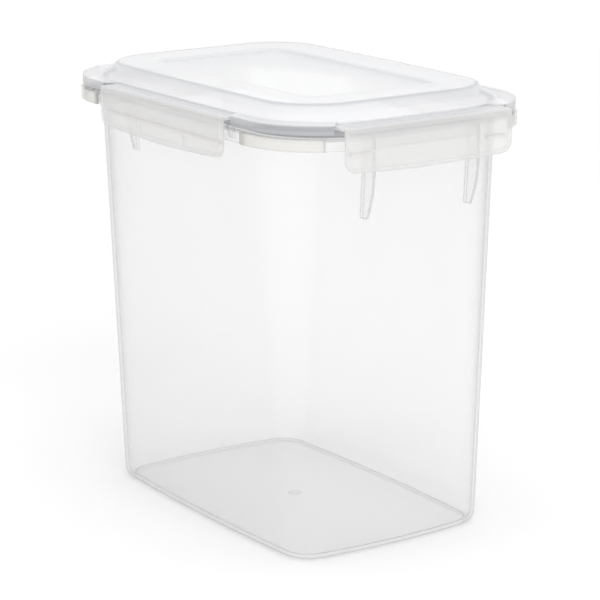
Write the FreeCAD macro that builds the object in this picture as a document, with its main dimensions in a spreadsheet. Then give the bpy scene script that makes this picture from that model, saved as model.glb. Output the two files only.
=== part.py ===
"""Food storage box: a tapered clear tub, a raised lid with a gasket, and four latch flaps.

X runs along the long side, Y along the short side and Z up. The origin is the middle of the base.
All lengths are in millimetres.
"""
import FreeCAD, Part
import math
import os
import re
import Sketcher

# Driving dimensions
SIZES = {
    # Container: the tub
    "base_length": 198.4,
    "base_width": 128.6,
    "base_corner": 18.8,
    "base_end_radius": 383,
    "base_side_radius": 1367,
    "mouth_length": 229.4,
    "mouth_width": 145.4,
    "mouth_corner": 44,
    "mouth_end_radius": 6000,
    "mouth_side_radius": 3200,
    "rim_height": 230,
    "wall": 1.8,
    "floor_thickness": 2.2,
    "base_rounding": 6,
    "floor_rounding": 4,
    # Container: the ledge and the collar round the mouth
    "collar_end_reach": 8.7,
    "collar_side_reach": 8.9,
    "collar_corner": 45.4,
    "collar_drop": 2.3,
    "collar_depth": 6.2,
    "ledge_thickness": 1.6,
    "skirt": 1.5,
    "guard_step": 1.3,
    "side_gap_margin": 10,
    "end_gap_margin": 6.2,
    # Container: the grip at each short end
    "grip_half": 33.4,
    "grip_depth": 16.2,
    "grip_setback": 0.3,
    "gusset": 1.6,
    "gusset_depth": 43.1,
    "gusset_toe": 4.4,
    "gusset_curve": 58,
    # Lid
    "lid_rise": 12.2,
    "plateau_end_inset": 13.3,
    "plateau_side_inset": 7.5,
    "plateau_corner": 31.6,
    "shoulder_step": 4,
    "shoulder_rise": 6.6,
    "flange_end_reach": 1.3,
    "flange_side_reach": 1.5,
    "flange_corner": 45,
    "flange_rise": 5.1,
    "flange_edge": 2.2,
    "brim_setback": 0.9,
    "brim_drop": 0.2,
    "brim_thickness": 1,
    "brim_notch": 0.9,
    "brim_lip": 1.3,
    "brim_lip_depth": 5.1,
    "lid_wall": 1.8,
    "plateau_rounding": 1.6,
    "shoulder_rounding": 2.5,
    "dish_rim": 23.8,
    "dish_depth": 2,
    "dish_slope": 1.2,
    "plug_depth": 3.8,
    "plug_wall": 1.5,
    "plug_clearance": 0.7,
    # Gasket
    "gasket_width": 2.2,
    "gasket_height": 3.1,
    "gasket_rounding": 0.8,
    "gasket_lift": 0.2,
    "gasket_clearance": 0.1,
    # Hinge lands and flaps
    "flap_thickness": 1.8,
    "hinge_drop": 0.1,
    "hinge_clearance": 0.1,
    "land_thickness": 1.6,
    "end_standoff": 2.5,
    "side_standoff": 2.4,
    "end_flap_half": 51.8,
    "side_flap_half": 62,
    "end_flap_height": 23.1,
    "side_flap_height": 22.1,
    "end_flap_radius": 850,
    "side_flap_radius": 850,
    "end_flap_corner": 6.5,
    "side_flap_corner": 6,
    "field_thickness": 1.2,
    "flap_border": 2.3,
    # Hook ribs
    "hook_clearance": 0.3,
    "hook_gap": 0.3,
    "hook_height": 2.3,
    "hook_slope": 1.3,
    "side_hook_inset": 3,
    "end_hook_inset": 3.3,
    "end_hook_margin": 2.6,
    "rib_width": 1.8,
    "rib_place": 22,
}

# Lengths, places and heights that follow from the driving dimensions
DERIVED = {
    "collar_length": "mouth_length + 2 * collar_end_reach",
    "collar_width": "mouth_width + 2 * collar_side_reach",
    "collar_top": "rim_height - collar_drop",
    "plateau_length": "mouth_length - 2 * plateau_end_inset",
    "plateau_width": "mouth_width - 2 * plateau_side_inset",
    "flange_length": "mouth_length + 2 * flange_end_reach",
    "flange_width": "mouth_width + 2 * flange_side_reach",
    "lid_height": "rim_height + lid_rise",
    "shoulder_height": "rim_height + shoulder_rise",
    "flange_top": "rim_height + flange_rise",
    "flange_bottom": "flange_top - flange_edge",
    "brim_top": "flange_top - brim_drop",
    "brim_lip_bottom": "brim_top - brim_lip_depth",
    "plug_bottom": "rim_height - plug_depth",
    "hinge_height": "flange_bottom - hinge_drop",
    "end_plane": "collar_length / 2 + end_standoff",
    "side_plane": "collar_width / 2 + side_standoff",
    "end_flap_bottom": "hinge_height - end_flap_height",
    "side_flap_bottom": "hinge_height - side_flap_height",
    "side_gap_half": "side_flap_half + side_gap_margin",
    "end_gap_half": "end_flap_half + end_gap_margin",
    "side_hook_half": "side_flap_half - side_hook_inset",
    "end_hook_inner": "grip_half + end_hook_margin",
    "end_hook_outer": "end_flap_half - end_hook_inset",
}

# How far an edge may lie from the height that it is looked for at
EDGE_TOLERANCE = 0.01

document = FreeCAD.newDocument("FoodStorageBox")
sheet = document.addObject("Spreadsheet::Sheet", "Sizes")
for row, (alias, size) in enumerate(SIZES.items(), 1):
    sheet.set(f"A{row}", alias)
    sheet.set(f"B{row}", str(size))
    sheet.setAlias(f"B{row}", alias)
document.recompute()


def reference(word):
    """A driving dimension's cell, or the sum that a derived length stands for."""
    name = word[0]
    if name in DERIVED:
        return f"( {expression(DERIVED[name])} )"
    return f"Sizes.{name}" if name in SIZES else name


def expression(text):
    """The text with each name in it written out in cells of the sheet."""
    return re.sub(r"[A-Za-z_]\w*", reference, text)


def number(text):
    return float(sheet.evalExpression(expression(text)))


def bind(target, place, text):
    target.setExpression(place, expression(text))


# Sketches

def origin_plane(body, role):
    return next(plane for plane in body.Origin.OriginFeatures if plane.Role == role)


def sketch_on(body, name, role, offset):
    """A sketch on one of the body's own planes, moved along that plane's normal."""
    sketch = body.newObject("Sketcher::SketchObject", name)
    sketch.AttachmentSupport = [(origin_plane(body, role), "")]
    sketch.MapMode = "FlatFace"
    bind(sketch, "AttachmentOffset.Base.z", offset)
    return sketch


def dimension(sketch, name, kind, picks, text):
    """One driving constraint of a sketch, tied to the sheet."""
    index = sketch.addConstraint(Sketcher.Constraint(kind, *picks, number(text)))
    sketch.renameConstraint(index, name)
    bind(sketch, f"Constraints.{name}", text)


def arc(centre, radius, start, end):
    circle = Part.Circle(FreeCAD.Vector(centre[0], centre[1], 0), FreeCAD.Vector(0, 0, 1), radius)
    return Part.ArcOfCircle(circle, start, end)


def corner_centre(length, width, corner, end_radius, side_radius):
    """Centre of the corner arc that touches an end arc and a side arc from the inside."""
    end_x = length - end_radius
    side_y = width - side_radius
    reach_end = end_radius - corner
    reach_side = side_radius - corner
    span = math.hypot(end_x, side_y)
    along = (reach_end ** 2 - reach_side ** 2 + span ** 2) / (2 * span)
    across = math.sqrt(reach_end ** 2 - along ** 2)
    ux, uy = -end_x / span, side_y / span
    return end_x + ux * along - uy * across, uy * along + ux * across


def add_outline(sketch, label, shape, inset="0"):
    """A closed outline of eight tangent arcs: two ends, two sides and four corners."""
    half_length = f"{shape['length']} / 2 - ( {inset} )"
    half_width = f"{shape['width']} / 2 - ( {inset} )"
    corner = f"{shape['corner']} - ( {inset} )"
    end_radius = f"{shape['end']} - ( {inset} )"
    side_radius = f"{shape['side']} - ( {inset} )"
    length, width = number(half_length), number(half_width)
    turn, end, side = number(corner), number(end_radius), number(side_radius)
    cx, cy = corner_centre(length, width, turn, end, side)
    right = math.atan2(cy, cx - (length - end))
    top = math.atan2(cx, cy - (width - side))
    quarter = math.pi / 2
    first = sketch.GeometryCount
    arcs = [
        arc((length - end, 0), end, -right, right),
        arc((cx, cy), turn, right, quarter - top),
        arc((0, width - side), side, quarter - top, quarter + top),
        arc((-cx, cy), turn, quarter + top, 2 * quarter - right),
        arc((end - length, 0), end, 2 * quarter - right, 2 * quarter + right),
        arc((-cx, -cy), turn, 2 * quarter + right, 3 * quarter - top),
        arc((0, side - width), side, 3 * quarter - top, 3 * quarter + top),
        arc((cx, -cy), turn, 3 * quarter + top, 4 * quarter - right),
    ]
    sketch.addGeometry(arcs)
    for step in range(8):
        here, following = first + step, first + (step + 1) % 8
        sketch.addConstraint(Sketcher.Constraint("Tangent", here, 2, following, 1))
    for step, axis in ((0, -1), (4, -1), (2, -2), (6, -2)):
        sketch.addConstraint(Sketcher.Constraint("PointOnObject", first + step, 3, axis))
    for step in (3, 5, 7):
        sketch.addConstraint(Sketcher.Constraint("Equal", first + 1, first + step))
    sketch.addConstraint(Sketcher.Constraint("Equal", first, first + 4))
    sketch.addConstraint(Sketcher.Constraint("Equal", first + 2, first + 6))
    dimension(sketch, f"{label}_corner", "Radius", (first + 1,), corner)
    dimension(sketch, f"{label}_end_radius", "Radius", (first,), end_radius)
    dimension(sketch, f"{label}_side_radius", "Radius", (first + 2,), side_radius)
    end_shift = f"( {end_radius} ) - ( {half_length} )"
    side_shift = f"( {side_radius} ) - ( {half_width} )"
    dimension(sketch, f"{label}_right", "DistanceX", (first, 3, -1, 1), end_shift)
    dimension(sketch, f"{label}_left", "DistanceX", (-1, 1, first + 4, 3), end_shift)
    dimension(sketch, f"{label}_back", "DistanceY", (first + 2, 3, -1, 1), side_shift)
    dimension(sketch, f"{label}_front", "DistanceY", (-1, 1, first + 6, 3), side_shift)


def add_polygon(sketch, label, corners):
    """A closed outline of straight lines through corners given as pairs of expressions."""
    first = sketch.GeometryCount
    points = [FreeCAD.Vector(number(across), number(up), 0) for across, up in corners]
    count = len(points)
    sketch.addGeometry([Part.LineSegment(points[k], points[(k + 1) % count]) for k in range(count)])
    for k in range(count):
        here, following = first + k, first + (k + 1) % count
        sketch.addConstraint(Sketcher.Constraint("Coincident", here, 2, following, 1))
    for k, (across, up) in enumerate(corners):
        dimension(sketch, f"{label}_across_{k}", "DistanceX", (-1, 1, first + k, 1), across)
        dimension(sketch, f"{label}_up_{k}", "DistanceY", (-1, 1, first + k, 1), up)


def add_rectangle(sketch, label, left, bottom, right, top):
    add_polygon(sketch, label, [(left, bottom), (right, bottom), (right, top), (left, top)])


# Features

def pad(body, name, sketch, length, symmetric=False):
    feature = body.newObject("PartDesign::Pad", name)
    feature.Profile = sketch
    feature.SideType = "Symmetric" if symmetric else "One side"
    bind(feature, "Length", length)
    return feature


def pocket(body, name, sketch, depth):
    """A cut that goes along the sketch's own normal."""
    feature = body.newObject("PartDesign::Pocket", name)
    feature.Profile = sketch
    feature.Reversed = True
    bind(feature, "Length", depth)
    return feature


def loft(body, name, kind, lower, upper):
    feature = body.newObject(f"PartDesign::{kind}", name)
    feature.Profile = lower
    feature.Sections = [upper]
    feature.Ruled = True
    return feature


def outline_sketch(body, name, height, shape, inset="0", hole=None):
    sketch = sketch_on(body, name, "XY_Plane", height)
    add_outline(sketch, "outer", shape, inset)
    if hole is not None:
        add_outline(sketch, "inner", shape, hole)
    return sketch


def edges_at(feature, height, reach_x, reach_y):
    """Names of the edges that lie level at one height, within a length and width of the middle."""
    names = []
    for index, edge in enumerate(feature.Shape.Edges, 1):
        box = edge.BoundBox
        level = abs(box.ZMin - height) < EDGE_TOLERANCE and abs(box.ZMax - height) < EDGE_TOLERANCE
        near_x = max(abs(box.XMin), abs(box.XMax)) < reach_x
        near_y = max(abs(box.YMin), abs(box.YMax)) < reach_y
        if level and near_x and near_y:
            names.append(f"Edge{index}")
    return names


def fillet(body, name, base, edges, radius):
    feature = body.newObject("PartDesign::Fillet", name)
    feature.Base = (base, edges)
    bind(feature, "Radius", radius)
    return feature


BASE = {"length": "base_length", "width": "base_width", "corner": "base_corner",
        "end": "base_end_radius", "side": "base_side_radius"}
MOUTH = {"length": "mouth_length", "width": "mouth_width", "corner": "mouth_corner",
         "end": "mouth_end_radius", "side": "mouth_side_radius"}
COLLAR = {"length": "collar_length", "width": "collar_width", "corner": "collar_corner",
          "end": "mouth_end_radius", "side": "mouth_side_radius"}
PLATEAU = {"length": "plateau_length", "width": "plateau_width", "corner": "plateau_corner",
           "end": "mouth_end_radius", "side": "mouth_side_radius"}
FLANGE = {"length": "flange_length", "width": "flange_width", "corner": "flange_corner",
          "end": "mouth_end_radius", "side": "mouth_side_radius"}


# Container

def build_container():
    body = document.addObject("PartDesign::Body", "container")
    body.AllowCompound = True
    skirt_bottom = "collar_top - collar_depth"

    # Proud guards at the corners and over the grips: a ring cut away behind the flaps
    ring = outline_sketch(body, "guard_ring", skirt_bottom, COLLAR, hole="skirt")
    pad(body, "guards", ring, "collar_depth")
    gaps = sketch_on(body, "flap_gaps", "XY_Plane", skirt_bottom)
    add_rectangle(gaps, "sides", "-side_gap_half", "-collar_width", "side_gap_half", "collar_width")
    pocket(body, "side_gaps", gaps, "collar_depth")
    gaps = sketch_on(body, "hook_gaps", "XY_Plane", skirt_bottom)
    add_rectangle(gaps, "back", "-collar_length", "grip_half", "collar_length", "end_gap_half")
    add_rectangle(gaps, "front", "-collar_length", "-end_gap_half", "collar_length", "-grip_half")
    pocket(body, "end_gaps", gaps, "collar_depth")

    # Collar skirt and ledge, set back by the guards' step
    ring = outline_sketch(body, "skirt_ring", skirt_bottom, COLLAR, "guard_step", "guard_step + skirt")
    pad(body, "collar_skirt", ring, "collar_depth")
    disc = outline_sketch(body, "ledge_outline", "collar_top - ledge_thickness", COLLAR, "guard_step")
    pad(body, "ledge", disc, "ledge_thickness")

    # Tub, from the base to the rim
    lower = outline_sketch(body, "base_outline", "0", BASE)
    upper = outline_sketch(body, "mouth_outline", "rim_height", MOUTH)
    tub = loft(body, "tub", "AdditiveLoft", lower, upper)
    document.recompute()
    bottom = edges_at(tub, 0, number("base_length"), number("base_width"))
    fillet(body, "rounded_base", tub, bottom, "base_rounding")

    # Grip lip at each short end
    lips = sketch_on(body, "lip_outline", "XY_Plane", "collar_top - grip_depth")
    face = "collar_length / 2 - grip_setback"
    back = "collar_length / 2 - skirt"
    add_rectangle(lips, "right", back, "-grip_half", face, "grip_half")
    add_rectangle(lips, "left", f"-({face})", "-grip_half", f"-({back})", "grip_half")
    pad(body, "grip_lips", lips, "grip_depth - ledge_thickness / 2")

    # Gussets under the ends of each grip
    for side, place in (("back", "grip_half - gusset"), ("front", "-grip_half")):
        sketch = sketch_on(body, f"{side}_gusset_profile", "XZ_Plane", f"-({place}) - gusset")
        add_gussets(sketch)
        pad(body, f"{side}_gussets", sketch, "gusset")

    # Cavity
    lower = outline_sketch(body, "floor_outline", "floor_thickness", BASE, "wall")
    upper = outline_sketch(body, "opening_outline", "rim_height", MOUTH, "wall")
    cavity = loft(body, "cavity", "SubtractiveLoft", lower, upper)
    document.recompute()
    floor_edges = edges_at(cavity, number("floor_thickness"), number("base_length"), number("base_width"))
    fillet(body, "rounded_floor", cavity, floor_edges, "floor_rounding")
    return body


def add_gussets(sketch):
    """Side view of the gussets at both ends: each hangs under the ledge, and its free edge curves in."""
    taper = "( mouth_length - base_length ) / 2 / rim_height"
    bottom = "collar_top - gusset_depth"
    wall_face = f"base_length / 2 + {taper} * ( {bottom} )"
    root = f"{wall_face} - wall / 2"
    toe = f"{wall_face} + gusset_toe"
    lip = "collar_length / 2 - skirt / 2"
    lip_bottom = "collar_top - grip_depth"
    top = "collar_top - ledge_thickness / 2"
    for side, sign in (("right", ""), ("left", "-")):
        direction = -1 if sign else 1
        first = sketch.GeometryCount
        places = [(root, bottom), (toe, bottom), (lip, lip_bottom), (lip, top), (root, top)]
        points = [FreeCAD.Vector(direction * number(x), number(z), 0) for x, z in places]
        chord = points[2] - points[1]
        radius = number("gusset_curve")
        rise = math.sqrt(radius ** 2 - (chord.Length / 2) ** 2)
        normal = FreeCAD.Vector(-chord.y, chord.x, 0).normalize() * direction
        centre = (points[1] + points[2]) * 0.5 + normal * rise
        start = math.atan2(points[1].y - centre.y, points[1].x - centre.x)
        end = math.atan2(points[2].y - centre.y, points[2].x - centre.x)
        if direction > 0:
            curve, low, high = arc(centre, radius, start, end), 1, 2
        else:
            curve, low, high = arc(centre, radius, end, start), 2, 1
        sketch.addGeometry([
            Part.LineSegment(points[0], points[1]),
            curve,
            Part.LineSegment(points[2], points[3]),
            Part.LineSegment(points[3], points[4]),
            Part.LineSegment(points[4], points[0]),
        ])
        joins = [(0, 2, 1, low), (1, high, 2, 1), (2, 2, 3, 1), (3, 2, 4, 1), (4, 2, 0, 1)]
        for one, end_one, two, end_two in joins:
            ends = (first + one, end_one, first + two, end_two)
            sketch.addConstraint(Sketcher.Constraint("Coincident", *ends))
        dimension(sketch, f"{side}_curve", "Radius", (first + 1,), "gusset_curve")
        corners = [(0, 1), (0, 2), (2, 1), (2, 2), (3, 2)]
        for k, (piece, end_point) in enumerate(corners):
            across, up = places[k]
            picks = (-1, 1, first + piece, end_point)
            dimension(sketch, f"{side}_across_{k}", "DistanceX", picks, f"{sign}({across})")
            dimension(sketch, f"{side}_up_{k}", "DistanceY", picks, up)


# Lid

def build_lid():
    body = document.addObject("PartDesign::Body", "lid")
    body.AllowCompound = True
    mouth_inset = "wall + plug_clearance"
    ceiling = "lid_height - lid_wall"
    groove_top = "rim_height + gasket_lift + gasket_height"

    # Brim with a turned-down lip at the four corners, left out where the flaps hang
    lip = outline_sketch(body, "lip_ring", "brim_lip_bottom", COLLAR, "brim_setback",
                         hole="brim_setback + brim_lip")
    pad(body, "brim_lips", lip, "brim_lip_depth")
    edge = outline_sketch(body, "brim_outline", "brim_top - brim_thickness", COLLAR, "brim_setback")
    pad(body, "brim", edge, "brim_thickness")
    gaps = sketch_on(body, "side_brim_gaps", "XY_Plane", "brim_lip_bottom")
    reach = "side_flap_half + brim_notch"
    add_rectangle(gaps, "sides", f"-({reach})", "-collar_width", reach, "collar_width")
    pocket(body, "side_brim_cuts", gaps, "brim_lip_depth")
    gaps = sketch_on(body, "end_brim_gaps", "XY_Plane", "brim_lip_bottom")
    reach = "end_flap_half + brim_notch"
    add_rectangle(gaps, "ends", "-collar_length", f"-({reach})", "collar_length", reach)
    pocket(body, "end_brim_cuts", gaps, "brim_lip_depth")

    # Flange, shoulder and raised top
    edge = outline_sketch(body, "flange_outline", "flange_bottom", FLANGE)
    pad(body, "flange", edge, "flange_top - flange_bottom")
    lower = outline_sketch(body, "flange_crest", "flange_top", FLANGE)
    upper = outline_sketch(body, "shoulder_outline", "shoulder_height", PLATEAU, "-shoulder_step")
    loft(body, "flange_slope", "AdditiveLoft", lower, upper)
    lower = outline_sketch(body, "plateau_foot", "shoulder_height", PLATEAU, "-shoulder_step")
    upper = outline_sketch(body, "plateau_outline", "lid_height", PLATEAU)
    raised = loft(body, "plateau", "AdditiveLoft", lower, upper)
    document.recompute()
    crest = edges_at(raised, number("lid_height"), number("plateau_length"), number("plateau_width"))
    rounded = fillet(body, "rounded_plateau", raised, crest, "plateau_rounding")
    document.recompute()
    foot = edges_at(rounded, number("shoulder_height"), number("plateau_length"), number("plateau_width"))
    fillet(body, "rounded_shoulder", rounded, foot, "shoulder_rounding")

    # Straight lands that the flaps hang from
    end_land = "end_plane - flap_thickness - hinge_clearance"
    side_land = "side_plane - flap_thickness - hinge_clearance"
    lands = sketch_on(body, "end_lands_outline", "XY_Plane", "flange_bottom - land_thickness / 2")
    add_rectangle(lands, "ends", f"-({end_land})", "-end_flap_half", end_land, "end_flap_half")
    pad(body, "end_lands", lands, "land_thickness")
    lands = sketch_on(body, "side_lands_outline", "XY_Plane", "flange_bottom - land_thickness / 2")
    add_rectangle(lands, "sides", "-side_flap_half", f"-({side_land})", "side_flap_half", side_land)
    pad(body, "side_lands", lands, "land_thickness")

    # Plug skirt that enters the mouth
    disc = outline_sketch(body, "plug_outline", "plug_bottom", MOUTH, mouth_inset)
    pad(body, "plug", disc, "flange_top - plug_bottom")

    # Groove for the gasket, round the plug
    inner = f"{mouth_inset} - gasket_clearance"
    outer = f"{inner} - gasket_width - gasket_clearance"
    groove = sketch_on(body, "groove_outline", "XY_Plane", "plug_bottom")
    add_outline(groove, "outer", MOUTH, outer)
    add_outline(groove, "inner", MOUTH, mouth_inset)
    pocket(body, "groove", groove, f"{groove_top} - plug_bottom")

    # Hollow under the flange and the raised top
    hollow = outline_sketch(body, "hollow_outline", "plug_bottom", MOUTH, f"{mouth_inset} + plug_wall")
    pocket(body, "plug_hollow", hollow, f"{groove_top} - plug_bottom")
    lower = outline_sketch(body, "dome_foot", groove_top, PLATEAU, "lid_wall - shoulder_step")
    upper = outline_sketch(body, "dome_ceiling", ceiling, PLATEAU, "lid_wall")
    loft(body, "dome_hollow", "SubtractiveLoft", lower, upper)

    # Shallow dish in the raised top
    slab = outline_sketch(body, "dish_underside", f"{ceiling} - dish_depth", PLATEAU, "dish_rim - lid_wall")
    pad(body, "dish_floor", slab, "dish_depth + lid_wall / 2")
    lower = outline_sketch(body, "dish_foot", "lid_height - dish_depth", PLATEAU, "dish_rim + dish_slope")
    upper = outline_sketch(body, "dish_edge", "lid_height", PLATEAU, "dish_rim")
    loft(body, "dish", "SubtractiveLoft", lower, upper)
    return body


# Gasket

def build_gasket():
    body = document.addObject("PartDesign::Body", "gasket")
    inner = "wall + plug_clearance - gasket_clearance"
    sketch = sketch_on(body, "gasket_outline", "XY_Plane", "rim_height + gasket_lift")
    add_outline(sketch, "outer", MOUTH, f"{inner} - gasket_width")
    add_outline(sketch, "inner", MOUTH, inner)
    ring = pad(body, "gasket_ring", sketch, "gasket_height")
    document.recompute()
    low = edges_at(ring, number("rim_height + gasket_lift"), number("mouth_length"), number("mouth_width"))
    fillet(body, "gasket_bead", ring, low, "gasket_rounding")
    return body


# Flaps

def build_flap(label, kind, plane, turn):
    """One latch flap, drawn as if it hung at +X, then turned about Z to its own side."""
    body = document.addObject("PartDesign::Body", label)
    body.AllowCompound = True
    half, bottom = f"{kind}_flap_half", f"{kind}_flap_bottom"
    sweep, corner = f"{kind}_flap_radius", f"{kind}_flap_corner"

    # Plate with a thin field inside a thicker border
    plate = sketch_on(body, "plate_outline", "YZ_Plane", f"{plane} - flap_thickness")
    add_flap_outline(plate, "plate", half, bottom, "hinge_height", corner, sweep, "0")
    pad(body, "plate", plate, "flap_thickness")
    field = sketch_on(body, "field_outline", "YZ_Plane", f"{plane} - flap_thickness")
    field_top = "hinge_height - flap_thickness"
    add_flap_outline(field, "field", half, bottom, field_top, corner, sweep, "flap_border")
    pocket(body, "field", field, "flap_thickness - field_thickness")

    # Rolled top edge that turns at the hinge line
    roll = sketch_on(body, "roll_outline", "XZ_Plane", "0")
    centre = FreeCAD.Vector(number(f"{plane} - flap_thickness / 2"), number("hinge_height"), 0)
    radius = number("flap_thickness / 2")
    roll.addGeometry(Part.Circle(centre, FreeCAD.Vector(0, 0, 1), radius))
    dimension(roll, "roll_radius", "Radius", (0,), "flap_thickness / 2")
    dimension(roll, "roll_across", "DistanceX", (-1, 1, 0, 3), f"{plane} - flap_thickness / 2")
    dimension(roll, "roll_up", "DistanceY", (-1, 1, 0, 3), "hinge_height")
    pad(body, "rolled_edge", roll, f"2 * {half}", symmetric=True)

    # Hook ribs under the collar
    collar_face = "collar_length / 2" if kind == "end" else "collar_width / 2"
    tip = f"{collar_face} - guard_step + hook_clearance"
    hook_top = "collar_top - collar_depth - hook_gap"
    corners = [
        (f"{plane} - field_thickness / 2", hook_top),
        (tip, hook_top),
        (tip, f"{hook_top} - hook_height + hook_slope"),
        (f"{plane} - field_thickness / 2", f"{hook_top} - hook_height"),
    ]
    if kind == "side":
        spans = [("hook", "0", "2 * side_hook_half", True)]
    else:
        width = "end_hook_outer - end_hook_inner"
        spans = [("near_hook", "end_hook_inner", width, False), ("far_hook", "-end_hook_outer", width, False)]
    for name, place, width, symmetric in spans:
        profile = sketch_on(body, f"{name}_profile", "XZ_Plane", place)
        add_polygon(profile, "hook", corners)
        pad(body, name, profile, width, symmetric)

    # Stiffening ribs below the hook of a side flap
    if kind == "side":
        ribs = sketch_on(body, "rib_outline", "YZ_Plane", f"{plane} - flap_thickness")
        low = f"{bottom} + flap_border / 2"
        high = f"{hook_top} - hook_height / 2"
        for name, place in (("one", "rib_place"), ("two", "-rib_place")):
            left, right = f"{place} - rib_width / 2", f"{place} + rib_width / 2"
            add_rectangle(ribs, name, left, low, right, high)
        pad(body, "ribs", ribs, "flap_thickness - field_thickness / 2")

    body.Placement = FreeCAD.Placement(FreeCAD.Vector(0, 0, 0), FreeCAD.Rotation(turn, 0, 0))
    return body


def add_flap_outline(sketch, label, half, bottom, top, corner, sweep, inset):
    """A plate's outline: straight top and sides, rounded lower corners and a bowed lower edge."""
    first = sketch.GeometryCount
    reach, low = f"{half} - ( {inset} )", f"{bottom} + ( {inset} )"
    turn_text, bow_text = f"{corner} * ( {half} - ( {inset} ) ) / {half}", f"{sweep} - ( {inset} )"
    side, base, up = number(reach), number(low), number(top)
    turn, bow = number(turn_text), number(bow_text)
    centre_x = side - turn
    bow_up = base + bow
    drop = math.sqrt((bow - turn) ** 2 - centre_x ** 2)
    centre_y = bow_up - drop
    lean = math.atan2(centre_x, drop)
    down = -math.pi / 2
    sketch.addGeometry([
        Part.LineSegment(FreeCAD.Vector(side, up, 0), FreeCAD.Vector(-side, up, 0)),
        Part.LineSegment(FreeCAD.Vector(-side, up, 0), FreeCAD.Vector(-side, centre_y, 0)),
        arc((-centre_x, centre_y), turn, -math.pi, down - lean),
        arc((0, bow_up), bow, down - lean, down + lean),
        arc((centre_x, centre_y), turn, down + lean, 0),
        Part.LineSegment(FreeCAD.Vector(side, centre_y, 0), FreeCAD.Vector(side, up, 0)),
    ])
    sketch.addConstraint(Sketcher.Constraint("Coincident", first, 2, first + 1, 1))
    sketch.addConstraint(Sketcher.Constraint("Coincident", first + 5, 2, first, 1))
    for step in range(1, 5):
        sketch.addConstraint(Sketcher.Constraint("Tangent", first + step, 2, first + step + 1, 1))
    sketch.addConstraint(Sketcher.Constraint("Vertical", first + 1))
    sketch.addConstraint(Sketcher.Constraint("Vertical", first + 5))
    sketch.addConstraint(Sketcher.Constraint("Horizontal", first))
    sketch.addConstraint(Sketcher.Constraint("Equal", first + 2, first + 4))
    sketch.addConstraint(Sketcher.Constraint("PointOnObject", first + 3, 3, -2))
    dimension(sketch, f"{label}_turn", "Radius", (first + 2,), turn_text)
    dimension(sketch, f"{label}_bow", "Radius", (first + 3,), bow_text)
    dimension(sketch, f"{label}_right", "DistanceX", (-1, 1, first, 1), reach)
    dimension(sketch, f"{label}_left", "DistanceX", (first, 2, -1, 1), reach)
    dimension(sketch, f"{label}_top", "DistanceY", (-1, 1, first, 1), top)
    dimension(sketch, f"{label}_bow_up", "DistanceY", (-1, 1, first + 3, 3), f"{low} + {bow_text}")


bodies = [
    build_container(),
    build_lid(),
    build_gasket(),
    build_flap("flap_right", "end", "end_plane", 0),
    build_flap("flap_back", "side", "side_plane", 90),
    build_flap("flap_left", "end", "end_plane", 180),
    build_flap("flap_front", "side", "side_plane", 270),
]
document.recompute()


# Checks, then one file for each piece

for item in document.Objects:
    if "Invalid" in item.State or "Error" in item.State:
        raise RuntimeError(f"{item.Name} failed: {item.State}")
for body in bodies:
    shape = body.Shape
    if shape.isNull() or not shape.isValid() or len(shape.Solids) != 1:
        raise RuntimeError(f"{body.Label} isn't one valid solid")

os.makedirs("parts", exist_ok=True)
for body in bodies:
    body.Shape.exportStep(f"parts/{body.Label}.step")
    box = body.Shape.optimalBoundingBox(False, False)
    corners = [round(value, 2) for value in (box.XMin, box.YMin, box.ZMin, box.XMax, box.YMax, box.ZMax)]
    print(body.Label, "volume", round(body.Shape.Volume), "box", *corners)
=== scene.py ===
"""Food storage box, dressed for its studio picture.

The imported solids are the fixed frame. The clear tub, the milky lid, its sealing ring and the four
latch flaps are rebuilt here as smooth surfaces from the same outlines as the solids, and each rides
on its own body. X runs along the long side, Y along the short side and Z up.
"""
import math

import bpy
import numpy as np
from bpy.props import FloatProperty, FloatVectorProperty, PointerProperty
from mathutils import Matrix, Vector


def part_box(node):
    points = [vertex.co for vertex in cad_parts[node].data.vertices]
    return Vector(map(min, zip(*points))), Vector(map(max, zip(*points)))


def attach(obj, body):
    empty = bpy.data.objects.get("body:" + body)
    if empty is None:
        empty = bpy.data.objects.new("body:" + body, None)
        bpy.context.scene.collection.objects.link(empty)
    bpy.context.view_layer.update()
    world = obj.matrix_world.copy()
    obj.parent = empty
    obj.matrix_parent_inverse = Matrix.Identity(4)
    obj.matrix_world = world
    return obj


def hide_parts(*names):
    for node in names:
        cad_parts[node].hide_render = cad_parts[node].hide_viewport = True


bl_info = {
    "name": "Food storage box",
    "version": (1, 0, 0),
    "blender": (4, 5, 0),
    "location": "3D View > Sidebar > Storage box",
    "description": "Clear tapered tub with a milky lid, a sealing ring and four latch flaps",
    "category": "Object",
}

MM = 0.001
QUARTER = math.pi / 2

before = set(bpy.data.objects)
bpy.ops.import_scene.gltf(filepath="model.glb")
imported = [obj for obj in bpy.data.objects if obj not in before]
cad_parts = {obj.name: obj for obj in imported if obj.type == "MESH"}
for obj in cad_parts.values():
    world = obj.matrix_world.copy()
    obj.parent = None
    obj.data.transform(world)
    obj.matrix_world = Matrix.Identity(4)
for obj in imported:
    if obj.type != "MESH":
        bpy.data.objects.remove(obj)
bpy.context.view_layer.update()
TUB_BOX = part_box("container")
LID_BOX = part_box("lid")
RING_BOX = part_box("gasket")
END_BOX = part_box("flap_right")
SIDE_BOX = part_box("flap_back")

# Samples: on an outline's end, corner and side arcs, round the tub's foot and up its walls
ARC_STEPS = (10, 22, 14)
FOOT_STEPS = 8
WALL_STEPS = 14
# Samples: round the gate mark, along a gusset's free edge, round a flap's corner and over its top
GATE_STEPS = 24
GUSSET_STEPS = 18
BEND_STEPS = 10
ROLL_STEPS = 9
# Profile of the gate mark: shares of its radius, and of its rise above the floor
GATE_PROFILE = ((1, -1), (1, 0), (0.75, 1), (0.5, 1), (0.4, 0))
# Parts that a step of an outline is cut into, and how many of them a guard's sections lie apart
FINE_STEPS = 6
KEEP_STEP = 2
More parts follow.
